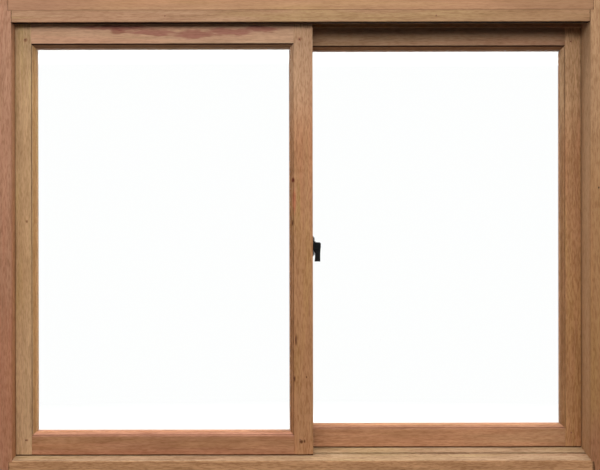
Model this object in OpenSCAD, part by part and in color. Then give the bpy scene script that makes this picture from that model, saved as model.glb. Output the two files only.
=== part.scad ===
// Timber sliding window: two glazed sashes on rollers in a housed frame, with a crescent latch.
// X runs to the right, Y runs from the front to the rear and Z runs up, in millimetres.
// The origin is the middle of the frame's underside.

/* [Frame] */
// Overall width of the frame
frame_w = 1510; // [1300:10:1800]
// Overall height of the frame
frame_h = 1200; // [900:10:1500]
// Thickness of each jamb
jamb_t = 35; // [30:1:45]
// Thickness of the head board
head_t = 36; // [30:1:45]
// Height of the sill at its front edge
sill_h = 45; // [40:1:60]
// Slope of the sill's top, rising to the rear, in degrees
sill_slope = 11; // [6:0.5:14]
// Radius of the sill's rounded front edge
sill_nose_r = 4; // [2:0.5:8]
// Depth of the housings in the jambs that take the ends of the head and the sill
housing_d = 8; // [5:0.5:12]

/* [Head beads] */
// Height of the beads under the head
bead_h = 28; // [24:1:40]
// Depth of the front and rear beads
bead_d = 25; // [20:1:32]
// Thickness of the parting bead between the two tracks
parting_t = 5; // [3:0.5:6]
// Depth of the groove in the head that holds the parting bead
parting_groove_d = 6; // [3:0.5:10]

/* [Sashes] */
// Thickness of a sash
sash_t = 35; // [33:1:45]
// Width of the outer stiles, with their moulding
stile_w = 49; // [46:1:70]
// Width of the meeting stiles, with their moulding
meeting_w = 57; // [50:1:70]
// Reach of each meeting stile past the middle of the frame
meeting_lap = 30; // [24:1:36]
// Height of the front sash's top rail, with its moulding
front_top_rail_h = 70; // [58:1:90]
// Height of the rear sash's top rail, with its moulding
rear_top_rail_h = 67; // [58:1:90]
// Height of the front sash's bottom rail at its face, with its moulding
front_bottom_rail_h = 58.5; // [54:0.5:80]
// Height of the rear sash's bottom rail at its face, with its moulding
rear_bottom_rail_h = 57; // [54:0.5:80]
// Reach of the sashes up behind the head beads
head_lap = 12; // [8:1:18]

/* [Sight moulding] */
// Width of the moulded lip that holds the glass
lip_w = 9; // [7:0.5:12]
// Depth of the lip, from the sash's face to the glass
lip_d = 12; // [10:0.5:14]
// Width of the quirk between the face and the bevel
quirk_w = 2; // [1:0.25:2.5]
// Depth of the quirk
quirk_d = 3; // [2:0.25:4]
// Depth at which the bevel starts
bevel_top_d = 1; // [0.5:0.25:1.5]
// Depth at which the bevel ends
bevel_d = 7; // [4:0.5:9]

/* [Glazing] */
// Thickness of the glass
glass_t = 5; // [3:0.5:6]
// Chamfer of the glazing beads at the rear
glazing_chamfer = 3; // [1:0.5:5]

/* [Joinery] */
// Thickness of the tenons
tenon_t = 11; // [8:0.5:13]
// Length of the tenons
tenon_l = 30; // [22:1:34]
// Height of the tenons
tenon_h = 28; // [20:1:30]
// Distance of the tenons from the moulded edge of the rail
tenon_edge = 2; // [1:0.5:4]
// Diameter of the pins through the corner joints
pin_d = 4; // [3:0.5:6]
// Length of those pins
pin_l = 29; // [26:1:31]
// Distance of those pins from the moulded edge of the rail
pin_edge = 11; // [8:0.5:16]

/* [Rollers] */
// Radius of the rollers
roller_r = 14; // [12:0.5:15]
// Width of the rollers
roller_w = 7; // [5:0.5:8]
// Width of the roller grooves in the sill
groove_w = 11; // [9.5:0.5:14]
// Depth of those grooves at their middle
groove_d = 7; // [5:0.5:9]
// Distance of the rollers from the sides of the sash
roller_inset = 120; // [95:1:200]
// Diameter of the roller axles
axle_d = 4; // [3:0.5:5]
// Distance of the rollers' middle behind the sash's face
roller_setback = 12; // [10:0.5:18]
// Wall of the roller housings
housing_wall = 1.5; // [1:0.25:2]
// Reach of the roller housings past the rollers
housing_end = 3; // [2:0.5:8]

/* [Latch] */
// Height of the latch's pivot
latch_z = 577; // [450:1:700]
// Width of the latch's plate
plate_w = 18; // [16:1:24]
// Height of the latch's plate
plate_h = 51; // [46:1:64]
// Thickness of the latch's plate
plate_t = 2; // [1.5:0.25:3]
// Thickness of the crescent cam
cam_t = 2.1; // [1.5:0.1:3]
// Radius of the lever's hub
hub_r = 10.5; // [9:0.5:12]
// Width of the lever
lever_w = 16; // [13:0.5:20]
// Length of the lever below its pivot
lever_l = 39; // [34:1:60]
// Depth of the lever's arm, from front to rear
lever_d = 13; // [10:0.5:16]
// Diameter of the pivot rivet
rivet_d = 6; // [5:0.5:8]

/* [Keeper] */
// Thickness of the keeper's metal
keeper_t = 1.6; // [1.2:0.1:2]
// Height of the keeper
keeper_h = 24; // [20:1:32]
// Distance of the keeper's screws from the edge of the stile's flat face
keeper_screw_inset = 6.5; // [5:0.5:10]
// Reach of the keeper past its screws
keeper_tail = 7; // [5:0.5:10]

/* [Fasteners] */
// Diameter of the screws that hold the frame together
frame_screw_d = 5; // [4:0.5:6]
// Length of those screws
frame_screw_l = 75; // [60:5:90]
// Distance between two of those screws
frame_screw_pitch = 70; // [50:5:80]
// Diameter of the nails in the head beads
bead_nail_d = 3; // [2:0.25:4]
// Length of those nails
bead_nail_l = 30; // [26:1:36]
// Distance of those nails from the jambs
bead_nail_inset = 383; // [100:1:500]
// Slant of those nails, in degrees
bead_nail_slant = 50; // [40:1:60]
// Diameter of the screws of the latch and the keeper
small_screw_d = 3; // [2.5:0.25:3.5]
// Length of those screws
small_screw_l = 16; // [12:1:22]

/* [Clearances] */
// Gap between a closed sash and the jamb
side_clear = 1.5; // [1:0.25:3]
// Gap between a sash and a head bead
bead_clear = 2; // [1:0.25:3]
// Gap between a sash and the parting bead
parting_clear = 1.5; // [1:0.25:2.5]
// Gap between the sashes and the sill
sill_clear = 1; // [0.75:0.25:3]
// Gap around the glass in its rebate
glass_clear = 2; // [1:0.25:3]
// Gap between the keeper and the front sash that passes it
pass_clear = 1.5; // [1:0.25:2]
// Gap between the locked crescent and the keeper's plate
cam_clear = 1.4; // [0.8:0.1:2]
// Gap between the locked crescent and the keeper's lip
keeper_gap = 0.8; // [0.4:0.1:1.5]
// Gap around tenons, bead ends and let-in pieces
joint_clear = 0.2; // [0.1:0.05:0.4]
// Gap around pins, screws and turning pieces
run_clear = 0.05; // [0.02:0.01:0.08]
// Gap between faces that pass close by each other
face_gap = 0.3; // [0.2:0.05:0.5]

/* [Hidden] */
$fn = 48;
timber = [0.65, 0.47, 0.33];
pale_timber = [0.72, 0.57, 0.42];
glass_tint = [0.85, 0.93, 0.92, 0.35];
black_metal = [0.06, 0.06, 0.065];
bright_metal = [0.62, 0.62, 0.6];
nylon = [0.85, 0.84, 0.8];

// Depths of the tracks, counted from the frame's front
sash_gap = parting_t + 2 * parting_clear;
frame_d = 2 * (bead_d + bead_clear + sash_t) + sash_gap;
front_y = -frame_d / 2;
front_sash_y = front_y + bead_d + bead_clear;
rear_sash_y = front_sash_y + sash_t + sash_gap;
parting_y = front_sash_y + sash_t + parting_clear;
rear_bead_y = rear_sash_y + sash_t + bead_clear;

// Widths and heights inside the frame
inner_x = frame_w / 2 - jamb_t;
housed_x = inner_x + housing_d;
head_z = frame_h - head_t;
bead_z = head_z - bead_h;
sash_top = bead_z + head_lap;

// Each sash is [left edge, right edge, face, left member, right member, bottom rail, top rail]
front_sash = [side_clear - inner_x, meeting_lap, front_sash_y, stile_w, meeting_w,
              front_bottom_rail_h, front_top_rail_h];
rear_sash = [-meeting_lap, inner_x - side_clear, rear_sash_y, meeting_w, stile_w,
             rear_bottom_rail_h, rear_top_rail_h];

function face_y(s) = s[2];
function middle_y(s) = s[2] + sash_t / 2;
// Edges of the stiles' bodies, which the rails' shoulders meet
function rebate_x0(s) = s[0] + s[3] - lip_w;
function rebate_x1(s) = s[1] - s[4] + lip_w;
// Height of the sill's top and of the sash's underside, at a depth
function sill_z(y) = sill_h + (y - front_y) * tan(sill_slope);
function foot_z(y) = sill_z(y) + sill_clear;
// Edges of the rails' bodies
function rebate_z0(s) = foot_z(face_y(s)) + s[5] - lip_w;
function rebate_z1(s) = sash_top - s[6] + lip_w;
function rebate_h(s) = rebate_z1(s) - rebate_z0(s);

// Rollers
function roller_y(s) = face_y(s) + roller_setback;
function groove_z(s) = sill_z(roller_y(s)) - groove_d;
function roller_z(s) = groove_z(s) + face_gap + roller_r;
function roller_x(s) = [s[0] + roller_inset, s[1] - roller_inset];
housing_w = roller_w + 2 * face_gap + 2 * housing_wall;
housing_l = 2 * (roller_r + housing_end);
roller_hub_r = axle_d / 2 + 3;
roller_rim_t = 3;
roller_web_in = roller_w / 4;
roller_edge = 0.8;

// Latch, on the edge of the front sash's meeting stile
latch_y = middle_y(front_sash);
cam_r = rear_sash_y - keeper_t - cam_clear - latch_y;
plate_x = meeting_lap;
cam_x = plate_x + plate_t + face_gap;
lever_x = cam_x + cam_t;
lever_end = lever_x + lever_w;
rivet_head_t = 1.4;
rivet_head_r = rivet_d / 2 + 2;
plate_screw_z = plate_h / 2 - 6.5;
lever_fillet = 5;
lever_taper = 1.5;
lever_waist = 1.2;
lever_waist_l = 28;
lever_waist_r = (pow(lever_waist_l / 2, 2) + pow(lever_waist, 2)) / (2 * lever_waist);

// Keeper, on the face of the rear sash's meeting stile
keeper_lip_x = lever_x + keeper_gap;
keeper_lip_t = 2.5;
keeper_end = keeper_lip_x + keeper_lip_t;
keeper_screw_x = rebate_x0(rear_sash) - keeper_screw_inset;
keeper_x = keeper_screw_x - keeper_tail;
keeper_screw_z = keeper_h / 4;
keeper_reach = sash_gap - pass_clear;

// Screw heads are countersunk at 90 degrees
frame_screw_head_d = 2 * frame_screw_d;
small_screw_head_d = small_screw_d + 2.4;
bead_nail_rise = bead_h / 2;

// A box between two corners
module block(low, high) {
    translate(low) cube(high - low);
}

// A profile drawn as [depth, height], run along X from x0 to x1
module along_x(x0, x1) {
    translate([x0, 0, 0]) rotate([90, 0, 90]) linear_extrude(x1 - x0) children();
}

// A cylinder along X, from x0 to x1
module rod_x(x0, x1, y, z, r) {
    translate([x0, y, z]) rotate([0, 90, 0]) cylinder(h = x1 - x0, r = r);
}

// A cylinder along Y, from y0 to y1
module rod_y(x, y0, y1, z, r) {
    translate([x, y0, z]) rotate([-90, 0, 0]) cylinder(h = y1 - y0, r = r);
}

// A countersunk screw pointing down, its head's top at the origin, grown by a gap for its hole
module screw(length, d, head_d, gap = 0) {
    mirror([0, 0, 1]) {
        cylinder(h = (head_d - d) / 2, d1 = head_d + 2 * gap, d2 = d + 2 * gap);
        cylinder(h = length + gap, d = d + 2 * gap);
    }
}

function arc_points(centre, r, from, to, steps) =
    [for (i = [0:steps]) centre + r * [cos(from + (to - from) * i / steps), sin(from + (to - from) * i / steps)]];

// Frame

module sill_profile() {
    nose_y = front_y + sill_nose_r;
    nose_z = sill_z(nose_y) - sill_nose_r / cos(sill_slope);
    polygon(concat(
        [[front_y, 0], [-front_y, 0], [-front_y, sill_z(-front_y)]],
        arc_points([nose_y, nose_z], sill_nose_r, 90 + sill_slope, 180, 6)
    ));
}

// The screws that join the jambs to the head and the sill
module frame_screw_set(gap = 0) {
    for (side = [-1, 1], y = [-1, 1], z = [sill_h / 2, frame_h - head_t / 2])
        translate([side * frame_w / 2, y * frame_screw_pitch / 2, z])
            rotate([0, side * 90, 0])
                screw(frame_screw_l, frame_screw_d, frame_screw_head_d, gap);
}

// The nails that slant up through the front and rear beads into the head
module bead_nail_set(gap = 0) {
    intersection() {
        for (side = [-1, 1], face = [-1, 1])
            translate([side * (inner_x - bead_nail_inset), face * -front_y, bead_z + bead_nail_rise])
                rotate([face * (90 - bead_nail_slant), 0, 0])
                    translate([0, 0, -bead_nail_d])
                        cylinder(h = bead_nail_l + bead_nail_d, d = bead_nail_d + 2 * gap);
        block([-inner_x, front_y, bead_z], [inner_x, -front_y, frame_h]);
    }
}

module jamb(side) {
    difference() {
        if (side < 0) block([-frame_w / 2, front_y, 0], [-inner_x, -front_y, frame_h]);
        else block([inner_x, front_y, 0], [frame_w / 2, -front_y, frame_h]);
        along_x(-housed_x - joint_clear, housed_x + joint_clear) sill_profile();
        block([-housed_x - joint_clear, front_y, head_z], [housed_x + joint_clear, -front_y, frame_h]);
        frame_screw_set(run_clear);
    }
}

module jamb_left() {
    color(timber) jamb(-1);
}

module jamb_right() {
    color(timber) jamb(1);
}

module head() {
    color(timber) difference() {
        block([-housed_x, front_y, head_z], [housed_x, -front_y, frame_h]);
        block([-inner_x, parting_y - joint_clear, head_z],
              [inner_x, parting_y + parting_t + joint_clear, head_z + parting_groove_d]);
        frame_screw_set(run_clear);
        bead_nail_set(run_clear);
    }
}

module sill() {
    color(pale_timber) difference() {
        along_x(-housed_x, housed_x) sill_profile();
        for (s = [front_sash, rear_sash])
            block([-housed_x, roller_y(s) - groove_w / 2, groove_z(s)],
                  [housed_x, roller_y(s) + groove_w / 2, sill_z(roller_y(s)) + groove_d]);
        frame_screw_set(run_clear);
    }
}

module head_bead(y0) {
    difference() {
        block([joint_clear - inner_x, y0, bead_z], [inner_x - joint_clear, y0 + bead_d, head_z]);
        bead_nail_set(run_clear);
    }
}

module head_bead_front() {
    color(timber) head_bead(front_y);
}

module head_bead_rear() {
    color(timber) head_bead(rear_bead_y);
}

module head_parting_bead() {
    color(timber) block([joint_clear - inner_x, parting_y, bead_z],
                        [inner_x - joint_clear, parting_y + parting_t, head_z + parting_groove_d]);
}

module frame_screws() {
    color(bright_metal) frame_screw_set();
}

module bead_nails() {
    color(black_metal) bead_nail_set();
}

// Sashes

// The lip's section: quirk, bevel and sight edge, drawn as [depth, width]
module lip_profile() {
    polygon([[quirk_d, 0], [quirk_d, quirk_w], [bevel_top_d, quirk_w], [bevel_d, lip_w], [lip_d, lip_w], [lip_d, 0]]);
}

// The glazing bead's section, which fills the rebate behind the glass
module glazing_profile() {
    glazing_d = lip_d + glass_t;
    polygon([[glazing_d, 0], [sash_t, 0], [sash_t, lip_w - glazing_chamfer],
             [sash_t - glazing_chamfer, lip_w], [glazing_d, lip_w]]);
}

// A strip as wide as the lip, run along X and mitred at both ends towards the glass
module mitred_strip(length) {
    intersection() {
        along_x(0, length) children();
        translate([0, sash_t, 0]) rotate([90, 0, 0]) linear_extrude(sash_t)
            polygon([[0, 0], [length, 0], [length - lip_w, lip_w], [lip_w, lip_w]]);
    }
}

module strip_bottom(s) {
    translate([rebate_x0(s), face_y(s), rebate_z0(s)])
        mitred_strip(rebate_x1(s) - rebate_x0(s)) children();
}

module strip_top(s) {
    translate([rebate_x0(s), face_y(s), rebate_z1(s)]) mirror([0, 0, 1])
        mitred_strip(rebate_x1(s) - rebate_x0(s)) children();
}

module strip_left(s) {
    translate([rebate_x0(s), face_y(s), rebate_z0(s)]) mirror([1, 0, 0]) rotate([0, -90, 0])
        mitred_strip(rebate_h(s)) children();
}

module strip_right(s) {
    translate([rebate_x1(s), face_y(s), rebate_z0(s)]) rotate([0, -90, 0])
        mitred_strip(rebate_h(s)) children();
}

// The body of a member that stands on the slope of the sill, between two edges
module footed_body(s, x0, x1, top) {
    y0 = face_y(s);
    y1 = y0 + sash_t;
    along_x(x0, x1) polygon([[y0, foot_z(y0)], [y1, foot_z(y1)], [y1, top], [y0, top]]);
}

// Tenons at both ends of a rail, grown by a gap for their mortises
module tenon_pair(s, z0, gap = 0) {
    y0 = face_y(s) + lip_d;
    grow = [gap, gap, gap];
    for (ends = [[rebate_x0(s) - tenon_l, rebate_x0(s)], [rebate_x1(s), rebate_x1(s) + tenon_l]])
        block([ends[0], y0, z0] - grow, [ends[1], y0 + tenon_t, z0 + tenon_h] + grow);
}

function bottom_tenon_z(s) = rebate_z0(s) - tenon_edge - tenon_h;
function top_tenon_z(s) = rebate_z1(s) + tenon_edge;

// Pins through the four corner joints, driven in from the face
module corner_pin_set(s, gap = 0) {
    for (x = [rebate_x0(s) - tenon_l / 2, rebate_x1(s) + tenon_l / 2],
         z = [rebate_z0(s) - pin_edge, rebate_z1(s) + pin_edge])
        rod_y(x, face_y(s), face_y(s) + pin_l + gap, z, pin_d / 2 + gap);
}

module stile_cuts(s) {
    tenon_pair(s, bottom_tenon_z(s), joint_clear);
    tenon_pair(s, top_tenon_z(s), joint_clear);
    corner_pin_set(s, run_clear);
}

module stile_left(s) {
    difference() {
        footed_body(s, s[0], rebate_x0(s), sash_top);
        stile_cuts(s);
    }
    strip_left(s) lip_profile();
}

module stile_right(s) {
    difference() {
        footed_body(s, rebate_x1(s), s[1], sash_top);
        stile_cuts(s);
    }
    strip_right(s) lip_profile();
}

module top_rail(s) {
    y0 = face_y(s);
    difference() {
        union() {
            block([rebate_x0(s), y0, rebate_z1(s)], [rebate_x1(s), y0 + sash_t, sash_top]);
            tenon_pair(s, top_tenon_z(s));
        }
        corner_pin_set(s, run_clear);
    }
    strip_top(s) lip_profile();
}

module bottom_rail(s) {
    difference() {
        union() {
            footed_body(s, rebate_x0(s), rebate_x1(s), rebate_z0(s));
            tenon_pair(s, bottom_tenon_z(s));
        }
        corner_pin_set(s, run_clear);
        for (x = roller_x(s)) roller_mortise(s, x);
    }
    strip_bottom(s) lip_profile();
}

module glass_pane(s) {
    y0 = face_y(s) + lip_d;
    block([rebate_x0(s) + glass_clear, y0, rebate_z0(s) + glass_clear],
          [rebate_x1(s) - glass_clear, y0 + glass_t, rebate_z1(s) - glass_clear]);
}

// Rollers

function housing_top(s) = roller_z(s) + roller_r + face_gap + housing_wall;
function housing_foot(s) = foot_z(roller_y(s) + housing_w / 2);

module roller_mortise(s, x) {
    reach = [housing_l / 2 + joint_clear, housing_w / 2 + joint_clear];
    block([x - reach[0], roller_y(s) - reach[1], sill_z(face_y(s))],
          [x + reach[0], roller_y(s) + reach[1], housing_top(s)]);
}

// A channel of bent metal, open below and at its ends
module roller_housing(s, x) {
    half_l = housing_l / 2;
    half_w = housing_w / 2;
    difference() {
        block([x - half_l, roller_y(s) - half_w, housing_foot(s)],
              [x + half_l, roller_y(s) + half_w, housing_top(s)]);
        block([x - half_l, roller_y(s) - half_w + housing_wall, housing_foot(s)],
              [x + half_l, roller_y(s) + half_w - housing_wall, housing_top(s) - housing_wall]);
        rod_y(x, roller_y(s) - half_w, roller_y(s) + half_w, roller_z(s), axle_d / 2 + run_clear);
    }
}

module roller_axle(s, x) {
    rod_y(x, roller_y(s) - housing_w / 2, roller_y(s) + housing_w / 2, roller_z(s), axle_d / 2);
}

// A wheel with a hub, a thin web and a rim with broken edges
module roller(s, x) {
    half_w = roller_w / 2;
    half_web = half_w - roller_web_in;
    rim_r = roller_r - roller_rim_t;
    translate([x, roller_y(s), roller_z(s)]) rotate([90, 0, 0]) rotate_extrude()
        polygon([[axle_d / 2 + run_clear, -half_w], [roller_hub_r, -half_w], [roller_hub_r, -half_web],
                 [rim_r, -half_web], [rim_r, -half_w], [roller_r - roller_edge, -half_w],
                 [roller_r, roller_edge - half_w], [roller_r, half_w - roller_edge],
                 [roller_r - roller_edge, half_w], [rim_r, half_w], [rim_r, half_web],
                 [roller_hub_r, half_web], [roller_hub_r, half_w], [axle_d / 2 + run_clear, half_w]]);
}

// Front sash

module front_outer_stile() {
    color(timber) stile_left(front_sash);
}

module front_meeting_stile() {
    color(timber) difference() {
        stile_right(front_sash);
        latch_screw_set(run_clear);
    }
}

module front_top_rail() {
    color(timber) top_rail(front_sash);
}

module front_bottom_rail() {
    color(timber) bottom_rail(front_sash);
}

module front_glass() {
    color(glass_tint) glass_pane(front_sash);
}

module front_glazing_bead_bottom() {
    color(timber) strip_bottom(front_sash) glazing_profile();
}

module front_glazing_bead_top() {
    color(timber) strip_top(front_sash) glazing_profile();
}

module front_glazing_bead_left() {
    color(timber) strip_left(front_sash) glazing_profile();
}

module front_glazing_bead_right() {
    color(timber) strip_right(front_sash) glazing_profile();
}

module front_corner_pins() {
    color(black_metal) corner_pin_set(front_sash);
}

module front_roller_housings() {
    color(bright_metal) for (x = roller_x(front_sash)) roller_housing(front_sash, x);
}

module front_roller_axles() {
    color(bright_metal) for (x = roller_x(front_sash)) roller_axle(front_sash, x);
}

module front_roller_left() {
    color(nylon) roller(front_sash, roller_x(front_sash)[0]);
}

module front_roller_right() {
    color(nylon) roller(front_sash, roller_x(front_sash)[1]);
}

// Rear sash

module rear_outer_stile() {
    color(timber) stile_right(rear_sash);
}

module rear_meeting_stile() {
    color(timber) difference() {
        stile_left(rear_sash);
        keeper_screw_set(run_clear);
    }
}

module rear_top_rail() {
    color(timber) top_rail(rear_sash);
}

module rear_bottom_rail() {
    color(timber) bottom_rail(rear_sash);
}

module rear_glass() {
    color(glass_tint) glass_pane(rear_sash);
}

module rear_glazing_bead_bottom() {
    color(timber) strip_bottom(rear_sash) glazing_profile();
}

module rear_glazing_bead_top() {
    color(timber) strip_top(rear_sash) glazing_profile();
}

module rear_glazing_bead_left() {
    color(timber) strip_left(rear_sash) glazing_profile();
}

module rear_glazing_bead_right() {
    color(timber) strip_right(rear_sash) glazing_profile();
}

module rear_corner_pins() {
    color(black_metal) corner_pin_set(rear_sash);
}

module rear_roller_housings() {
    color(bright_metal) for (x = roller_x(rear_sash)) roller_housing(rear_sash, x);
}

module rear_roller_axles() {
    color(bright_metal) for (x = roller_x(rear_sash)) roller_axle(rear_sash, x);
}

module rear_roller_left() {
    color(nylon) roller(rear_sash, roller_x(rear_sash)[0]);
}

module rear_roller_right() {
    color(nylon) roller(rear_sash, roller_x(rear_sash)[1]);
}

// Latch, drawn unlocked with its lever hanging down and its crescent turned to the front

module latch_screw_set(gap = 0) {
    for (z = [-1, 1])
        translate([plate_x + plate_t - run_clear, latch_y, latch_z + z * plate_screw_z])
            rotate([0, 90, 0])
                screw(small_screw_l, small_screw_d, small_screw_head_d, gap);
}

module latch_plate() {
    straight = plate_h / 2 - plate_w / 2;
    color(black_metal) difference() {
        union() {
            block([plate_x, latch_y - plate_w / 2, latch_z - straight],
                  [plate_x + plate_t, latch_y + plate_w / 2, latch_z + straight]);
            for (z = [-straight, straight])
                rod_x(plate_x, plate_x + plate_t, latch_y, latch_z + z, plate_w / 2);
        }
        latch_screw_set(run_clear);
        rod_x(plate_x, plate_x + plate_t, latch_y, latch_z, rivet_d / 2 + run_clear);
    }
}

module latch_screws() {
    color(black_metal) latch_screw_set();
}

module latch_pivot() {
    head_x = lever_end - rivet_head_t - run_clear;
    color(black_metal) {
        rod_x(plate_x, head_x, latch_y, latch_z, rivet_d / 2);
        rod_x(head_x, head_x + rivet_head_t, latch_y, latch_z, rivet_head_r);
    }
}

// A half moon on a round hub
module latch_cam() {
    color(black_metal) difference() {
        union() {
            rod_x(cam_x, lever_x, latch_y, latch_z, hub_r);
            intersection() {
                rod_x(cam_x, lever_x, latch_y, latch_z, cam_r);
                block([cam_x, latch_y - cam_r, latch_z - cam_r], [lever_x, latch_y, latch_z + cam_r]);
            }
        }
        rod_x(cam_x, lever_x, latch_y, latch_z, rivet_d / 2 + run_clear);
    }
}

// The lever's side view: a round hub with an arm that ends in a round tip
module lever_side() {
    tip_r = lever_d / 2;
    rod_x(lever_x, lever_end, latch_y, latch_z, hub_r);
    rod_x(lever_x, lever_end, latch_y, latch_z - lever_l + tip_r, tip_r);
    block([lever_x, latch_y - tip_r, latch_z - lever_l + tip_r], [lever_end, latch_y + tip_r, latch_z]);
}

// The lever's front view: round shoulders, a tapered outer edge and a waisted inner edge
module lever_front() {
    shoulder_z = hub_r - lever_fillet;
    waist_z = lever_waist_l / 2 - lever_l;
    difference() {
        translate([0, latch_y + hub_r, latch_z]) rotate([90, 0, 0]) linear_extrude(2 * hub_r)
            polygon(concat(
                [[lever_x, -lever_l], [lever_end - lever_taper, -lever_l], [lever_end - lever_taper, -lever_l / 2]],
                arc_points([lever_end - lever_fillet, shoulder_z], lever_fillet, 0, 90, 6),
                arc_points([lever_x + lever_fillet, shoulder_z], lever_fillet, 90, 180, 6)
            ));
        rod_y(lever_x + lever_waist - lever_waist_r, latch_y - hub_r, latch_y + hub_r,
              latch_z + waist_z, lever_waist_r);
    }
}

module latch_lever() {
    head_x = lever_end - rivet_head_t - 2 * run_clear;
    color(black_metal) difference() {
        intersection() {
            lever_side();
            lever_front();
        }
        rod_x(lever_x, lever_end, latch_y, latch_z, rivet_d / 2 + run_clear);
        rod_x(head_x, lever_end, latch_y, latch_z, rivet_head_r + face_gap);
    }
}

// Keeper

module keeper_screw_set(gap = 0) {
    for (z = [-1, 1])
        translate([keeper_screw_x, rear_sash_y - keeper_t + run_clear, latch_z + z * keeper_screw_z])
            rotate([90, 0, 0])
                screw(small_screw_l, small_screw_d, small_screw_head_d, gap);
}

// A plate on the stile's face, with a lip that the crescent hooks behind
module keeper() {
    half_h = keeper_h / 2;
    color(black_metal) difference() {
        union() {
            block([keeper_x, rear_sash_y - keeper_t, latch_z - half_h], [keeper_end, rear_sash_y, latch_z + half_h]);
            block([keeper_lip_x, rear_sash_y - keeper_reach, latch_z - half_h],
                  [keeper_end, rear_sash_y, latch_z + half_h]);
        }
        keeper_screw_set(run_clear);
    }
}

module keeper_screws() {
    color(black_metal) keeper_screw_set();
}

jamb_left();
jamb_right();
head();
sill();
head_bead_front();
head_parting_bead();
head_bead_rear();
frame_screws();
bead_nails();
front_outer_stile();
front_meeting_stile();
front_top_rail();
front_bottom_rail();
front_glass();
front_glazing_bead_bottom();
front_glazing_bead_top();
front_glazing_bead_left();
front_glazing_bead_right();
front_corner_pins();
front_roller_housings();
front_roller_axles();
front_roller_left();
front_roller_right();
rear_outer_stile();
rear_meeting_stile();
rear_top_rail();
rear_bottom_rail();
rear_glass();
rear_glazing_bead_bottom();
rear_glazing_bead_top();
rear_glazing_bead_left();
rear_glazing_bead_right();
rear_corner_pins();
rear_roller_housings();
rear_roller_axles();
rear_roller_left();
rear_roller_right();
latch_plate();
latch_screws();
latch_pivot();
latch_cam();
latch_lever();
keeper();
keeper_screws();
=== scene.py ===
"""Looks of a timber sliding window: oiled timber, clear glass, a black latch and soft daylight."""

import math

import bpy
from mathutils import Matrix, Vector


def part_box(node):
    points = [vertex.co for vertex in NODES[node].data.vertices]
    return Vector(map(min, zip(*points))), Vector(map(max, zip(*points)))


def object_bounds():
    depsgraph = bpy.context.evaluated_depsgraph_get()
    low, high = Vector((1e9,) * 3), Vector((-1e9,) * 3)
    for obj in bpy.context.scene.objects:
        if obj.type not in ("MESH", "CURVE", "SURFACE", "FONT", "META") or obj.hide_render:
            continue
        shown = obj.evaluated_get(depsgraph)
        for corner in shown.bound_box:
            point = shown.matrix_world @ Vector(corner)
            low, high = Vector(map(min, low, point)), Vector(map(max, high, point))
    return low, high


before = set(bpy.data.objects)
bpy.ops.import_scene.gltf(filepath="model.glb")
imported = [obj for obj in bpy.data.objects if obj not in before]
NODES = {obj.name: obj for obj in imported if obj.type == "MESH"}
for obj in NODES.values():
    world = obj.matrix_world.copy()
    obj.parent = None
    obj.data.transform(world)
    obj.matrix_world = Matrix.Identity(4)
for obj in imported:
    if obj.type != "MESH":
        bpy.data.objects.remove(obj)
CAD_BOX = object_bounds()

# Camera, in metres and radians, at the photograph's viewing angle
CAMERA_X = 0.0
CAMERA_HEIGHT = 0.608
CAMERA_DISTANCE = 2.073
CAMERA_YAW = 0.0011
CAMERA_PITCH = -0.0012
CAMERA_ROLL = 0.0017
CLIP_START = 0.01

# Sensor and lens, in millimetres
SENSOR_WIDTH = 36.0
FOCAL_LENGTH = 50.07

# Arrises, in metres
TIMBER_ARRIS = 0.0011
METAL_ARRIS = 0.0006
ARRIS_SEGMENTS = 2
ARRIS_ANGLE = math.radians(35)
WELD_DISTANCE = 0.00001
NORMAL_WEIGHT = 100

# Curve from sRGB levels to linear light
TOP_LEVEL = 255.0
CURVE_KNEE, CURVE_SLOPE = 0.04045, 12.92
CURVE_OFFSET, CURVE_POWER = 0.055, 2.4
WHITE = (1.0, 1.0, 1.0, 1.0)

# Sockets of a Mix node that mixes colours
MIX_FACTOR, MIX_FIRST, MIX_SECOND, MIX_RESULT = 0, 6, 7, 2

# Noise: its detail from coarse to fine, its roughness and its middle colour
PORE_DETAIL, PLAIN_DETAIL, FINE_DETAIL, CLOUD_DETAIL = 1.0, 2.0, 3.0, 4.0
NOISE_ROUGHNESS = 0.55
NOISE_MIDDLE = (0.5, 0.5, 0.5)

# Timber grain: noise scales per metre across and along the grain
SWAY_ACROSS, SWAY_ALONG, SWAY_REACH = 4.0, 1.1, 0.012
ROSE_ACROSS, ROSE_ALONG = 34.0, 1.3
STRAW_ACROSS, STRAW_ALONG = 35.3, 2.6
STRIPE_ACROSS, STRIPE_ALONG = 150.0, 5.0
FIBRE_ACROSS, FIBRE_ALONG = 900.0, 16.0
FLECK_ACROSS, FLECK_ALONG = 420.0, 60.0
BLOTCH_ACROSS, BLOTCH_ALONG = 55.0, 9.0
PORE_ACROSS, PORE_ALONG = 2200.0, 70.0
RAGGED_ACROSS, RAGGED_ALONG = 110.0, 25.0
RING_PITCH = 0.0042
SEED_STEP = (0.37, 0.53, 1.71)

# The pattern's grain runs along Z: turns that bring a board's own direction there
GRAIN_TURNS = {"X": (0.0, -math.pi / 2, 0.0), "Z": (0.0, 0.0, 0.0)}
ACROSS_GRAIN = (1.0, 1.0, 0.0)

# Noise values between which each layer of the grain appears, and how strongly it shows
ROSE_RAMP = (0.42, 0.66)
STRAW_RAMP = (0.46, 0.68)
BLOTCH_RAMP, BLOTCH_SHARE = (0.35, 0.75), 1.0
STRIPE_RAMP, STRIPE_SHARE = (0.40, 0.72), 0.7
FLECK_RAMP, FLECK_SHARE = (0.42, 0.66), 1.0
RING_RAMP, RING_SHARE = (0.55, 0.95), 0.16
FIBRE_RAMP, FIBRE_SHARE = (0.38, 0.70), 0.5
PORE_RAMP, PORE_SHARE = (0.62, 0.70), 0.5

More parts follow.
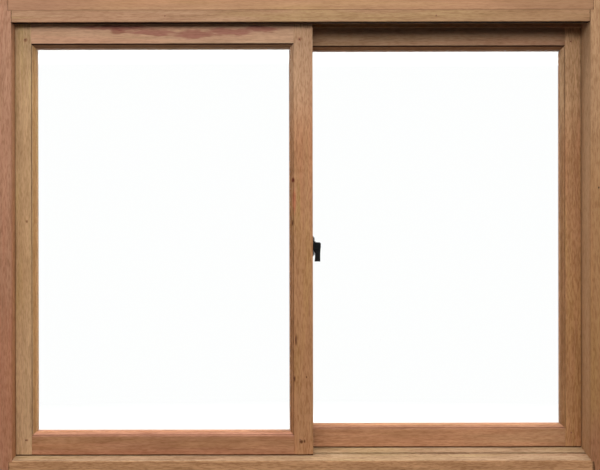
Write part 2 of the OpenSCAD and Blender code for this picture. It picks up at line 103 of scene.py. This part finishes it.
# Factors on a board's colour
ROSE_SHIFT = (1.06, 0.90, 0.90, 1.0)
STRAW_SHIFT = (0.97, 1.04, 0.86, 1.0)
SHADE_SHIFT = (0.82, 0.79, 0.77, 1.0)
FLECK_SHIFT = (0.74, 0.69, 0.65, 1.0)
LOW_TONE = (0.97, 0.94, 0.88, 1.0)
HIGH_TONE = (1.05, 1.10, 1.13, 1.0)
TONE_HEIGHTS = (0.15, 1.10)

# Painted shade in quirks and corners, and the oiled surface
NOOK_SHADE = (0.03, 0.016, 0.009, 1.0)
NOOK_SHADE_REACH = 0.005
NOOK_SHADE_SAMPLES = 6
NOOK_RAMP = (0.75, 0.25)
ROUGH_RAMP = (0.3, 0.7)
TIMBER_ROUGH = (0.5, 0.66)
FIBRE_RELIEF = 0.6
TIMBER_BUMP = {"Strength": 0.35, "Distance": 0.0004}
TIMBER_SPECULAR = 0.06


def srgb(red, green, blue):
    """A colour given as 0 to 255 in sRGB, as the linear colour that shaders take."""
    def linear(level):
        value = level / TOP_LEVEL
        if value <= CURVE_KNEE:
            return value / CURVE_SLOPE
        return ((value + CURVE_OFFSET) / (1.0 + CURVE_OFFSET)) ** CURVE_POWER
    return (linear(red), linear(green), linear(blue), 1.0)


# Node building

class Tree:
    """A material's or the world's node tree, with short calls to add nodes to it."""

    def __init__(self, nodes, links):
        self.nodes = nodes
        self.links = links

    def add(self, kind, inputs=None, **settings):
        """A new node, whose inputs are values or sockets to link."""
        node = self.nodes.new(kind)
        for name, value in settings.items():
            setattr(node, name, value)
        for key, value in (inputs or {}).items():
            if isinstance(value, bpy.types.NodeSocket):
                self.links.new(value, node.inputs[key])
            else:
                node.inputs[key].default_value = value
        return node

    def place(self):
        """Where a point of a piece is on the window at rest, in metres."""
        return self.add("ShaderNodeTexCoord").outputs["Object"]

    def math(self, operation, first, second=0.0):
        return self.add("ShaderNodeMath", {0: first, 1: second}, operation=operation).outputs[0]

    def vector(self, operation, first, second):
        return self.add("ShaderNodeVectorMath", {0: first, 1: second}, operation=operation).outputs["Vector"]

    def length(self, vector):
        return self.add("ShaderNodeVectorMath", {0: vector}, operation="LENGTH").outputs["Value"]

    def noise(self, vector, scales, detail=PLAIN_DETAIL):
        scaled = self.vector("MULTIPLY", vector, scales)
        inputs = {"Vector": scaled, "Scale": 1.0, "Detail": detail, "Roughness": NOISE_ROUGHNESS}
        return self.add("ShaderNodeTexNoise", inputs).outputs

    def ramp(self, value, low, high, to_low=0.0, to_high=1.0):
        inputs = {"Value": value, "From Min": low, "From Max": high, "To Min": to_low, "To Max": to_high}
        return self.add("ShaderNodeMapRange", inputs, interpolation_type="SMOOTHSTEP").outputs["Result"]

    def mix(self, factor, first, second, blend="MIX"):
        inputs = {MIX_FACTOR: factor, MIX_FIRST: first, MIX_SECOND: second}
        node = self.add("ShaderNodeMix", inputs, data_type="RGBA", blend_type=blend)
        return node.outputs[MIX_RESULT]

    def bump(self, shader, height, settings):
        """Gives a shader the relief of a height."""
        node = self.add("ShaderNodeBump", {"Height": height, **settings})
        self.links.new(node.outputs["Normal"], shader.inputs["Normal"])

    def show_mix(self, share, first, second):
        """Shows a mix of two shaders as the material's surface."""
        both = self.add("ShaderNodeMixShader", {0: share, 1: first, 2: second})
        self.links.new(both.outputs[0], self.nodes["Material Output"].inputs["Surface"])


def new_material(name):
    """A material with a Principled shader, its tree and that shader."""
    material = bpy.data.materials.new(name)
    material.use_nodes = True
    tree = Tree(material.node_tree.nodes, material.node_tree.links)
    return material, tree, material.node_tree.nodes["Principled BSDF"]


# Timber

def spot(tree, place, centre, radii, edge):
    """1 inside an ellipsoid at a place on the window, falling to 0 from a share of its radius on."""
    offset = tree.vector("SUBTRACT", place, centre)
    scaled = tree.vector("DIVIDE", offset, radii)
    return tree.ramp(tree.length(scaled), 1.0, edge)


def jitter(tree, colour, reach):
    """A noise colour as an offset of up to half a reach in each direction."""
    return tree.vector("MULTIPLY", tree.vector("SUBTRACT", colour, NOISE_MIDDLE), (reach,) * 3)


def tinted(tree, shade, colour, shift, value, ramp, share):
    """The shade, turned to a shifted colour where a noise value is high."""
    shifted = tuple(part * factor for part, factor in zip(colour, shift))
    return tree.mix(tree.ramp(value, *ramp, 0.0, share), shade, shifted)


def darkened(tree, shade, value, ramp, share, shift=SHADE_SHIFT):
    """The shade, darker where a noise value is high."""
    return tree.mix(tree.ramp(value, *ramp, 0.0, share), shade, shift, "MULTIPLY")


def marked(tree, shade, place, ragged, marks):
    """The shade with marks on it, given as (colour, share, edge, spots), their outlines made ragged."""
    for colour, share, (edge, reach), spots in marks:
        uneven = tree.vector("ADD", place, jitter(tree, ragged, reach))
        mask = 0.0
        for centre, radii in spots:
            mask = tree.math("MAXIMUM", mask, spot(tree, uneven, centre, radii, edge))
        shade = tree.mix(tree.math("MULTIPLY", mask, share), shade, colour)
    return shade


def timber(name, along, colour, seed, rose, straw, figure, speck, nook_shade, marks):
    """Planed, oiled timber whose grain runs along X or Z, with marks on it and painted shade in its quirks
    and corners.
    """
    material, tree, shader = new_material(name)
    place = tree.place()
    shift = tuple(seed * step for step in SEED_STEP)
    turned = {"Vector": place, "Rotation": GRAIN_TURNS[along], "Location": shift}
    grain = tree.add("ShaderNodeMapping", turned).outputs["Vector"]
    sway = tree.noise(grain, (SWAY_ACROSS, SWAY_ACROSS, SWAY_ALONG))["Color"]
    lines = tree.vector("ADD", grain, jitter(tree, sway, SWAY_REACH))

    def layer(across, lengthwise, detail=PLAIN_DETAIL):
        return tree.noise(lines, (across, across, lengthwise), detail)["Fac"]

    fibre = layer(FIBRE_ACROSS, FIBRE_ALONG, FINE_DETAIL)
    pore = layer(PORE_ACROSS, PORE_ALONG, PORE_DETAIL)
    ring = tree.length(tree.vector("MULTIPLY", lines, ACROSS_GRAIN))
    ring = tree.math("FRACT", tree.math("DIVIDE", ring, RING_PITCH))

    rosy = layer(ROSE_ACROSS, ROSE_ALONG)
    shade = tinted(tree, colour, colour, ROSE_SHIFT, rosy, ROSE_RAMP, rose)
    pale = layer(STRAW_ACROSS, STRAW_ALONG)
    shade = tinted(tree, shade, colour, STRAW_SHIFT, pale, STRAW_RAMP, straw)
    ragged = tree.noise(grain, (RAGGED_ACROSS, RAGGED_ACROSS, RAGGED_ALONG))["Color"]
    shade = marked(tree, shade, place, ragged, marks)
    height = tree.add("ShaderNodeSeparateXYZ", {0: place}).outputs["Z"]
    tone = tree.mix(tree.ramp(height, *TONE_HEIGHTS), LOW_TONE, HIGH_TONE)
    shade = tree.mix(1.0, shade, tone, "MULTIPLY")

    blotch = layer(BLOTCH_ACROSS, BLOTCH_ALONG, FINE_DETAIL)
    shade = darkened(tree, shade, blotch, BLOTCH_RAMP, BLOTCH_SHARE * figure)
    stripe = layer(STRIPE_ACROSS, STRIPE_ALONG, FINE_DETAIL)
    shade = darkened(tree, shade, stripe, STRIPE_RAMP, STRIPE_SHARE * figure)
    fleck = layer(FLECK_ACROSS, FLECK_ALONG)
    shade = darkened(tree, shade, fleck, FLECK_RAMP, FLECK_SHARE * speck, FLECK_SHIFT)
    shade = darkened(tree, shade, ring, RING_RAMP, RING_SHARE)
    shade = darkened(tree, shade, fibre, FIBRE_RAMP, FIBRE_SHARE)
    shade = darkened(tree, shade, pore, PORE_RAMP, PORE_SHARE)
    # Painted shade: darker where the piece's own surfaces close in, as in quirks and corners
    nook = tree.add("ShaderNodeAmbientOcclusion", {"Distance": NOOK_SHADE_REACH},
                    samples=NOOK_SHADE_SAMPLES, only_local=True)
    shade = tree.mix(tree.ramp(nook.outputs["AO"], *NOOK_RAMP, 0.0, nook_shade), shade, NOOK_SHADE)
    tree.links.new(shade, shader.inputs["Base Color"])

    rough = tree.ramp(fibre, *ROUGH_RAMP, *TIMBER_ROUGH)
    tree.links.new(rough, shader.inputs["Roughness"])
    pits = tree.ramp(pore, *PORE_RAMP, 0.0, PORE_SHARE)
    relief = tree.math("SUBTRACT", tree.math("MULTIPLY", fibre, FIBRE_RELIEF), pits)
    tree.bump(shader, relief, TIMBER_BUMP)
    shader.inputs["Specular IOR Level"].default_value = TIMBER_SPECULAR
    return material


# Metal, plastic and glass, with noise scales per metre

PAINT_CLOUDS, PAINT_GRIT = (90.0,) * 3, (1400.0,) * 3
PAINT_THICK, PAINT_THIN = srgb(8, 8, 9), srgb(22, 21, 21)
PAINT_ROUGH = (0.34, 0.5)
PAINT_BUMP = {"Strength": 0.2, "Distance": 0.0002}
PAINT_SPECULAR = 0.12
CLOUD_RAMP = (0.4, 0.75)

STEEL_CLOUDS, STEEL_BRUSH = (120.0,) * 3, (60.0, 1500.0, 1500.0)
STEEL_RAMP = (0.35, 0.7)
STEEL_BUMP = {"Strength": 0.15, "Distance": 0.0001}

# Each steel: bright and dull colour, range of roughness, metallic share
STEELS = {
    "zinc_plate": (srgb(190, 188, 180), srgb(150, 148, 142), (0.28, 0.45), 1.0),
    "rusty_nail": (srgb(138, 84, 62), srgb(104, 62, 46), (0.5, 0.7), 0.2),
}

NYLON_CLOUDS = (200.0,) * 3
NYLON_CLEAN, NYLON_SCUFFED = srgb(226, 223, 212), srgb(188, 182, 166)
NYLON_ROUGH = (0.4, 0.6)

GLASS_TINT = (0.985, 0.995, 0.99, 1.0)
GLASS_IOR = 1.45


def black_metal():
    """Satin black paint on cast metal, thinner and greyer in places."""
    material, tree, shader = new_material("black_paint")
    place = tree.place()
    cloud = tree.noise(place, PAINT_CLOUDS, CLOUD_DETAIL)["Fac"]
    grit = tree.noise(place, PAINT_GRIT)["Fac"]
    colour = tree.mix(tree.ramp(cloud, *CLOUD_RAMP), PAINT_THICK, PAINT_THIN)
    tree.links.new(colour, shader.inputs["Base Color"])
    tree.links.new(tree.ramp(cloud, *ROUGH_RAMP, *PAINT_ROUGH), shader.inputs["Roughness"])
    shader.inputs["Specular IOR Level"].default_value = PAINT_SPECULAR
    tree.bump(shader, grit, PAINT_BUMP)
    return material


def steel(name):
    """Plated or rusted steel, clouded and lightly brushed."""
    bright, dull, roughness, metallic = STEELS[name]
    material, tree, shader = new_material(name)
    place = tree.place()
    cloud = tree.noise(place, STEEL_CLOUDS, FINE_DETAIL)["Fac"]
    brush = tree.noise(place, STEEL_BRUSH)["Fac"]
    tree.links.new(tree.mix(tree.ramp(cloud, *STEEL_RAMP), bright, dull), shader.inputs["Base Color"])
    tree.links.new(tree.ramp(brush, *ROUGH_RAMP, *roughness), shader.inputs["Roughness"])
    tree.bump(shader, brush, STEEL_BUMP)
    shader.inputs["Metallic"].default_value = metallic
    return material


def nylon():
    """Off-white moulded nylon with a scuffed surface."""
    material, tree, shader = new_material("roller_nylon")
    cloud = tree.noise(tree.place(), NYLON_CLOUDS, CLOUD_DETAIL)["Fac"]
    colour = tree.mix(tree.ramp(cloud, *CLOUD_RAMP), NYLON_CLEAN, NYLON_SCUFFED)
    tree.links.new(colour, shader.inputs["Base Color"])
    tree.links.new(tree.ramp(cloud, *ROUGH_RAMP, *NYLON_ROUGH), shader.inputs["Roughness"])
    return material


def window_glass():
    """Clear float glass that lets lamps light what is behind it."""
    material, tree, shader = new_material("clear_glass")
    shader.inputs["Base Color"].default_value = GLASS_TINT
    shader.inputs["Transmission Weight"].default_value = 1.0
    shader.inputs["Roughness"].default_value = 0.0
    shader.inputs["IOR"].default_value = GLASS_IOR
    clear = tree.add("ShaderNodeBsdfTransparent").outputs[0]
    lamp_ray = tree.add("ShaderNodeLightPath").outputs["Is Shadow Ray"]
    tree.show_mix(lamp_ray, shader.outputs[0], clear)
    return material


# Dressing the nodes

def arris(node, width):
    """Rounds a node's sharp edges a little, as sanding and handling do."""
    weld = node.modifiers.new("weld", "WELD")
    weld.merge_threshold = WELD_DISTANCE
    bevel = node.modifiers.new("arris", "BEVEL")
    bevel.width = width
    bevel.segments = ARRIS_SEGMENTS
    bevel.limit_method = "ANGLE"
    bevel.angle_limit = ARRIS_ANGLE
    normals = node.modifiers.new("normals", "WEIGHTED_NORMAL")
    normals.weight = NORMAL_WEIGHT


def dress(names, material, width=None):
    """Gives nodes a material, and arrises where a width is given."""
    for name in names:
        node = NODES[name]
        node.data.materials.clear()
        node.data.materials.append(material)
        if width:
            arris(node, width)


# Each board: node, direction of its grain, colour, shares of rose, straw, broad figure and fine specks
PLAIN = (0.5, 0.5, 0.8, 0.8)
BOARDS = (
    ("jamb_left", "Z", srgb(176, 130, 103), 0.9, 0.3, 0.6, 1.0),
    ("jamb_right", "Z", srgb(168, 126, 88), 0.5, 0.5, 0.6, 1.0),
    ("head", "X", srgb(180, 136, 102), 0.3, 0.5, 0.65, 0.4),
    ("head_bead_front", "X", srgb(175, 135, 104), 0.4, 0.8, 1.05, 0.6),
    ("head_parting_bead", "X", srgb(170, 126, 92), *PLAIN),
    ("head_bead_rear", "X", srgb(176, 132, 98), *PLAIN),
    ("sill", "X", srgb(176, 149, 122), 0.4, 0.6, 1.3, 1.25),
    ("front_outer_stile", "Z", srgb(194, 157, 117), 0.1, 1.0, 0.9, 0.8),
    ("front_meeting_stile", "Z", srgb(182, 135, 98), 0.6, 0.6, 0.6, 1.0),
    ("front_top_rail", "X", srgb(200, 157, 125), 0.6, 0.3, 0.7, 0.5),
    ("front_bottom_rail", "X", srgb(182, 133, 102), 0.8, 0.4, 1.5, 0.7),
    ("front_glazing_bead_bottom", "X", srgb(178, 130, 100), 0.5, 0.4, 0.8, 0.8),
    ("front_glazing_bead_top", "X", srgb(170, 126, 92), *PLAIN),
    ("front_glazing_bead_left", "Z", srgb(173, 134, 92), 0.2, 0.8, 0.8, 0.8),
    ("front_glazing_bead_right", "Z", srgb(176, 130, 94), *PLAIN),
    ("rear_outer_stile", "Z", srgb(188, 141, 102), 0.4, 0.6, 0.85, 1.2),
    ("rear_meeting_stile", "Z", srgb(172, 126, 90), 0.5, 0.5, 0.8, 1.0),
    ("rear_top_rail", "X", srgb(160, 124, 95), 0.6, 0.4, 0.8, 0.7),
    ("rear_bottom_rail", "X", srgb(190, 148, 113), 0.7, 0.4, 1.3, 0.7),
    ("rear_glazing_bead_bottom", "X", srgb(176, 128, 94), *PLAIN),
    ("rear_glazing_bead_top", "X", srgb(168, 122, 90), *PLAIN),
    ("rear_glazing_bead_left", "Z", srgb(170, 124, 90), *PLAIN),
    ("rear_glazing_bead_right", "Z", srgb(166, 122, 84), *PLAIN),
)

# Edges of marks: share of the radius that is fully coloured, and how far the outline wanders, in metres
SHARP = (0.94, 0.0008)
CRISP = (0.6, 0.0015)
SOFT = (0.3, 0.004)
STREAKED = (0.5, 0.022)

# Share of a crisp mark's radius at which it has half its strength
CRISP_REACH = (1.0 + CRISP[0]) / 2

# Depths of marks: how far behind the board's front their middle is, and their radius there, in metres
FACE = (0.0, 0.02)
WHOLE = (0.0, 0.1)
SIGHT = (0.005, 0.02)
TOP_SIGHT = (0.0, 0.05)
REVEAL = (0.066, 0.072)
UNDERSIDE = (0.0145, 0.0135)
NOSE = (0.0, 0.006)
BACK = (0.132, 0.004)
FOOT = (0.0, 0.012)

# A radius longer than any board, and those of a joint's dark line, in metres
LONG = 9.0
LINE, LINE_REACH = 0.0026, 0.3

# Places that marks follow, from the frame: a jamb's inner face, an end of the head and the sill,
# the middle of an outer stile's sight moulding, and half the window's height
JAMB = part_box("jamb_right")[0][0]
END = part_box("head")[1][0]
SIGHT_INSET = 0.001
SIGHT_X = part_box("rear_outer_stile")[0][0] + SIGHT_INSET
HALF_HEIGHT = CAD_BOX[1][2] / 2

# Marks in metres: node, colour, share, edge, depth, and each spot's x, z and radii along x and z
MARKS = (
    # Reveals of the jambs, paler and redder stretches, a scar and the line beside the sill
    ("jamb_left", srgb(188, 137, 100), 0.9, CRISP, REVEAL, ((-JAMB, HALF_HEIGHT, 0.006, LONG),)),
    ("jamb_right", srgb(176, 136, 101), 0.9, SOFT, WHOLE, ((0.74, 1.08, 0.1, 0.4),)),
    ("jamb_right", srgb(162, 114, 86), 0.8, SOFT, WHOLE, ((0.74, 0.03, 0.1, 0.17),)),
    ("jamb_right", srgb(182, 143, 108), 0.9, CRISP, REVEAL, ((JAMB, HALF_HEIGHT, 0.006, LONG),)),
    ("jamb_right", srgb(54, 36, 28), 0.9, SOFT, FACE, ((0.7396, 0.722, 0.0028, 0.004),)),
    ("jamb_right", srgb(72, 44, 30), 0.9, CRISP, FACE, ((END, 0.012, LINE, 0.028),)),

    # Darker ends of the head and its bead, the lines of their joints and painted shade on the bead's
    # underside
    ("head", srgb(168, 123, 95), 0.9, SOFT, WHOLE, ((-0.75, 1.182, 0.36, 0.1),)),
    ("head", srgb(160, 119, 88), 0.95, SOFT, WHOLE, ((0.75, 1.182, 0.40, 0.1),)),
    ("head", srgb(96, 62, 40), 0.5, SOFT, FACE, ((0.0, 1.1645, LONG, LINE),)),
    ("head", srgb(96, 62, 40), 0.85, SOFT, FACE,
     ((-END, 1.182, LINE, LINE_REACH), (END, 1.182, LINE, LINE_REACH))),
    ("head_bead_front", srgb(160, 121, 88), 0.85, SOFT, WHOLE, ((0.74, 1.150, 0.40, 0.1),)),
    ("head_bead_front", srgb(74, 46, 30), 0.9, SOFT, FACE,
     ((-JAMB, 1.15, LINE, LINE_REACH), (JAMB, 1.15, LINE, LINE_REACH))),
    # Painted shade on the underside of the front head bead
    ("head_bead_front", srgb(24, 14, 8), 1.0, SOFT, UNDERSIDE, ((0.0, 1.135, LONG, 0.0045),)),

    # Front and back of the sill, warmer than its worn top, and the lines of its ends
    ("sill", srgb(199, 153, 114), 1.0, SHARP, NOSE, ((0.0, 0.0, LONG, 0.0455),)),
    ("sill", srgb(199, 153, 114), 1.0, CRISP, BACK, ((0.0, 0.0, LONG, 0.12),)),
    ("sill", srgb(84, 54, 36), 0.85, SOFT, FACE,
     ((-END, 0.02, LINE, LINE_REACH), (END, 0.02, 0.0070, LINE_REACH))),

    # Pale foot of the front outer stile, its sight moulding, stains around pins and a scar
    ("front_outer_stile", srgb(208, 171, 134), 0.85, SOFT, WHOLE, ((-0.69, 0.16, 0.1, 0.36),)),
    ("front_outer_stile", srgb(180, 136, 90), 0.9, CRISP, SIGHT, ((-SIGHT_X, HALF_HEIGHT, 0.0062, LONG),)),
    ("front_outer_stile", srgb(150, 98, 70), 0.8, SOFT, FACE,
     ((-0.692, 1.097, 0.007, 0.007), (-0.690, 0.090, 0.004, 0.004))),
    ("front_outer_stile", srgb(124, 80, 54), 0.8, SOFT, FACE, ((-0.6895, 0.641, 0.0035, 0.005),)),

    # Figure and knots of the front meeting stile, painted shade on its sight moulding, pale top and a stain
    # around a pin
    ("front_meeting_stile", srgb(190, 112, 84), 0.7, SOFT, FACE, ((-0.017, 0.690, 0.006, 0.046),)),
    ("front_meeting_stile", srgb(170, 136, 84), 0.6, SOFT, FACE, ((-0.005, 0.690, 0.006, 0.075),)),
    ("front_meeting_stile", srgb(104, 40, 30), 0.95, SOFT, FACE, ((-0.020, 0.744, 0.006, 0.009),)),
    ("front_meeting_stile", srgb(92, 52, 36), 0.9, SOFT, FACE,
     ((-0.0214, 0.636, 0.003, 0.011), (-0.0126, 0.341, 0.0035, 0.020), (-0.0164, 0.243, 0.003, 0.011),
      (0.0138, 0.248, 0.0022, 0.004), (0.0088, 0.086, 0.003, 0.007))),
    ("front_meeting_stile", srgb(84, 48, 32), 0.9, SOFT, FACE, ((0.0008, 0.0855, 0.007, 0.007),)),
    # Painted shade on the meeting stile's sight moulding
    ("front_meeting_stile", srgb(126, 84, 56), 0.6, SOFT, SIGHT, ((-0.028, HALF_HEIGHT, 0.010, LONG),)),
    ("front_meeting_stile", srgb(196, 158, 126), 0.6, SOFT, WHOLE, ((0.0, 1.08, 0.1, 0.26),)),
    ("front_meeting_stile", srgb(158, 98, 74), 0.7, SOFT, FACE, ((-0.0025, 1.0985, 0.007, 0.007),)),

    # Heartwood in the front top rail, darkest at one end
    ("front_top_rail", srgb(164, 106, 90), 0.85, STREAKED, FACE,
     ((-0.470, 1.1270, 0.110, 0.0070), (-0.372, 1.1160, 0.090, 0.0115), (-0.269, 1.1115, 0.066, 0.0150),
      (-0.178, 1.1180, 0.080, 0.0120), (-0.100, 1.1240, 0.060, 0.0100))),
    ("front_top_rail", srgb(140, 72, 62), 0.6, STREAKED, FACE, ((-0.458, 1.1175, 0.026, 0.0100),)),

    # Rosy sight mouldings of the bottom rails
    ("front_bottom_rail", srgb(206, 153, 133), 0.6, SOFT, SIGHT, ((0.0, 0.1035, LONG, 0.0078),)),
    ("rear_bottom_rail", srgb(180, 132, 110), 0.7, SOFT, SIGHT, ((0.0, 0.111, LONG, 0.0072),)),

    # Stain around a pin of the rear outer stile, its sight moulding and pale top
    ("rear_outer_stile", srgb(132, 72, 54), 0.85, SOFT, FACE, ((0.6947, 1.103, 0.006, 0.009),)),
    ("rear_outer_stile", srgb(150, 109, 77), 0.85, CRISP, SIGHT, ((SIGHT_X, HALF_HEIGHT, 0.0062, LONG),)),
    ("rear_outer_stile", srgb(206, 164, 124), 0.65, SOFT, WHOLE, ((0.69, 1.03, 0.1, 0.22),)),
)

# Painted shade on the mouldings that face down under the top rails and in their quirks, in metres above the
# rail's lowest edge
PAINTED_MOULDING_SHADE = {"front_top_rail": srgb(118, 82, 56), "rear_top_rail": srgb(122, 82, 54)}
MOULDING_HEIGHT = 0.0095
MOULDING_SHADE_SHARE = 0.95
QUIRK_MIDDLE, QUIRK_RADIUS = 0.0085, 0.0023
QUIRK_SHADE_COLOUR = srgb(58, 36, 24)

# Painted shadow of the gap under each sash, along its foot
FOOT_SHADOW_NODES = ("front_outer_stile", "front_meeting_stile", "front_bottom_rail",
             "rear_outer_stile", "rear_meeting_stile", "rear_bottom_rail")
FOOT_SHADOW_COLOUR = srgb(62, 38, 26)
FOOT_SHADOW_SHARE = 0.9
FOOT_SHADOW_RADIUS = 0.0034

# Share of the painted shade in quirks and corners
PLAIN_NOOK_SHADE = 0.5
NOOK_SHADE_SHARES = {"front_top_rail": 1.0, "rear_top_rail": 1.0, "front_meeting_stile": 0.05,
                "front_bottom_rail": 0.1, "rear_bottom_rail": 0.1}

# Beads with nail holes in their faces keep their plain edges
NAILED_BEADS = ("head_bead_front", "head_bead_rear")

# Nodes that aren't timber
PAINTED_CASTINGS = ("latch_plate", "latch_cam", "latch_lever", "keeper")
PAINTED_SCREWS = ("latch_screws", "latch_pivot", "keeper_screws")
PLATED = ("frame_screws", "front_roller_housings", "rear_roller_housings",
          "front_roller_axles", "rear_roller_axles")
RUSTED = ("bead_nails", "front_corner_pins", "rear_corner_pins")
ROLLERS = ("front_roller_left", "front_roller_right", "rear_roller_left", "rear_roller_right")
PANES = ("front_glass", "rear_glass")


def board_marks(name):
    """A board's own marks, and the painted shade on its moulding or the painted shadow along its foot, as
    timber() takes them.
    """
    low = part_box(name)[0]
    rows = [mark[1:] for mark in MARKS if mark[0] == name]
    # Painted shade on the moulding that faces down, and a darker painted line in its quirk
    if name in PAINTED_MOULDING_SHADE:
        middle = low[2] + MOULDING_HEIGHT / 2
        moulding = (0.0, middle, LONG, MOULDING_HEIGHT / 2 / CRISP_REACH)
        quirk = (0.0, low[2] + QUIRK_MIDDLE, LONG, QUIRK_RADIUS)
        rows.append((PAINTED_MOULDING_SHADE[name], MOULDING_SHADE_SHARE, CRISP, TOP_SIGHT, (moulding,)))
        rows.append((QUIRK_SHADE_COLOUR, MOULDING_SHADE_SHARE, CRISP, TOP_SIGHT, (quirk,)))
    # Painted shadow along the sash's foot, where the gap under it is in shade
    if name in FOOT_SHADOW_NODES:
        rows.append((FOOT_SHADOW_COLOUR, FOOT_SHADOW_SHARE, CRISP, FOOT, ((0.0, low[2], LONG, FOOT_SHADOW_RADIUS),)))

    marks = []
    for colour, share, edge, (behind, depth), ovals in rows:
        spots = [((x, low[1] + behind, z), (wide, depth, high)) for x, z, wide, high in ovals]
        marks.append((colour, share, edge, spots))
    return marks


def dress_timber():
    """Gives each board a timber of its own, and rounds its arrises."""
    for seed, (name, along, colour, *shares) in enumerate(BOARDS, 1):
        nook_shade = NOOK_SHADE_SHARES.get(name, PLAIN_NOOK_SHADE)
        material = timber(name, along, colour, seed, *shares, nook_shade, board_marks(name))
        dress([name], material, None if name in NAILED_BEADS else TIMBER_ARRIS)


def dress_fittings():
    """Gives the latch, the fixings, the rollers and the panes their materials."""
    paint = black_metal()
    dress(PAINTED_CASTINGS, paint, METAL_ARRIS)
    dress(PAINTED_SCREWS, paint)
    dress(PLATED, steel("zinc_plate"))
    dress(RUSTED, steel("rusty_nail"))
    dress(ROLLERS, nylon())
    dress(PANES, window_glass())


# Stage, in metres

# The floor is pale where it is seen, and dark where light would bounce off it onto the window
FLOOR_HALF = 9.0
FLOOR_PALE = (0.86, 0.86, 0.86, 1.0)
FLOOR_BOUNCE = (0.03, 0.03, 0.03, 1.0)
FLOOR_ROUGH = 0.9

# The floor's shadow fades between these distances from the window, which count less along it
SHADOW_REACH = (0.42, 0.9)
SHADOW_SHAPE = (0.35, 1.0, 0.0)

# The sky's strength grows between these heights of a ray's direction
SKY_HEIGHTS = (-0.4, 0.8)
SKY_STRENGTHS = (0.0, 0.30)

# Each lamp: place, width and height of its panel, and power in watts
LAMPS = {
    "sky_front": ((0.0, -3.3, 2.3), 5.0, 1.2, 92.0),
    "sky_left": ((-3.2, -2.2, 2.0), 1.6, 1.2, 32.0),
    "sky_right": ((3.2, -2.2, 2.0), 1.6, 1.2, 36.0),
    "sky_above": ((0.0, -1.0, 5.0), 3.0, 1.4, 170.0),
    "sky_rear": ((0.6, 2.6, 2.8), 3.0, 2.0, 90.0),
}
LAMP_TARGET = (0.0, 0.0, 0.62)


def new_object(name, data):
    """An object in the scene for a mesh, a lamp or a camera."""
    obj = bpy.data.objects.new(name, data)
    bpy.context.scene.collection.objects.link(obj)
    return obj


def seen_rays(tree):
    """1 for rays that show the background: from the camera, in a reflection or through glass."""
    path = tree.add("ShaderNodeLightPath").outputs
    seen = tree.math("MAXIMUM", path["Is Camera Ray"], path["Is Glossy Ray"])
    return tree.math("MAXIMUM", seen, path["Is Transmission Ray"])


def make_floor():
    """A pale floor that keeps the window's shadow and fades to white away from it."""
    corners = [(-FLOOR_HALF, -FLOOR_HALF, 0), (FLOOR_HALF, -FLOOR_HALF, 0),
               (FLOOR_HALF, FLOOR_HALF, 0), (-FLOOR_HALF, FLOOR_HALF, 0)]
    mesh = bpy.data.meshes.new("floor")
    mesh.from_pydata(corners, [], [(0, 1, 2, 3)])
    floor = new_object("floor", mesh)
    material, tree, shader = new_material("pale_floor")
    bounced = tree.add("ShaderNodeLightPath").outputs["Is Diffuse Ray"]
    tree.links.new(tree.mix(bounced, FLOOR_PALE, FLOOR_BOUNCE), shader.inputs["Base Color"])
    shader.inputs["Roughness"].default_value = FLOOR_ROUGH
    flat = tree.vector("MULTIPLY", tree.place(), SHADOW_SHAPE)
    far = tree.ramp(tree.length(flat), *SHADOW_REACH)
    white = tree.add("ShaderNodeEmission", {"Color": WHITE, "Strength": 1.0})
    share = tree.math("MULTIPLY", far, seen_rays(tree))
    tree.show_mix(share, shader.outputs[0], white.outputs[0])
    mesh.materials.append(material)


def make_world():
    """White where it is seen, and a sky that is brighter above where it lights the window."""
    world = bpy.data.worlds.new("studio")
    bpy.context.scene.world = world
    world.use_nodes = True
    tree = Tree(world.node_tree.nodes, world.node_tree.links)
    background = tree.nodes["Background"]
    background.inputs["Color"].default_value = WHITE
    ray = tree.add("ShaderNodeTexCoord").outputs["Generated"]
    height = tree.add("ShaderNodeSeparateXYZ", {0: ray}).outputs["Z"]
    sky = tree.ramp(height, *SKY_HEIGHTS, *SKY_STRENGTHS)
    seen = seen_rays(tree)
    unseen = tree.math("SUBTRACT", 1.0, seen)
    strength = tree.math("ADD", tree.math("MULTIPLY", sky, unseen), seen)
    tree.links.new(strength, background.inputs["Strength"])


def make_lamps():
    """Soft panels that light the window and leave no reflection of their own."""
    for name, (place, width, height, power) in LAMPS.items():
        panel = bpy.data.lights.new(name, "AREA")
        panel.shape = "RECTANGLE"
        panel.size = width
        panel.size_y = height
        panel.energy = power
        lamp = new_object(name, panel)
        lamp.location = place
        lamp.visible_glossy = False
        direction = Vector(LAMP_TARGET) - lamp.location
        lamp.rotation_euler = direction.to_track_quat("-Z", "Y").to_euler()


def rotation(angle, axis):
    """A 4 by 4 matrix that turns by an angle about X, Y or Z."""
    return Matrix.Rotation(angle, 4, axis)


def make_camera():
    """The photograph's camera: almost square on, a little above the window's middle."""
    lens = bpy.data.cameras.new("camera")
    lens.sensor_width = SENSOR_WIDTH
    lens.lens = FOCAL_LENGTH
    lens.clip_start = CLIP_START
    camera = new_object("camera", lens)
    upright = rotation(math.pi / 2, "X")
    turn = rotation(CAMERA_YAW, "Z") @ rotation(CAMERA_PITCH, "X") @ rotation(CAMERA_ROLL, "Y")
    front = CAD_BOX[0][1]
    place = Matrix.Translation((CAMERA_X, front - CAMERA_DISTANCE, CAMERA_HEIGHT))
    camera.matrix_world = place @ turn @ upright
    bpy.context.scene.camera = camera


dress_timber()
dress_fittings()
make_floor()
make_world()
make_lamps()
make_camera()
bpy.context.scene.view_settings.view_transform = "Standard"
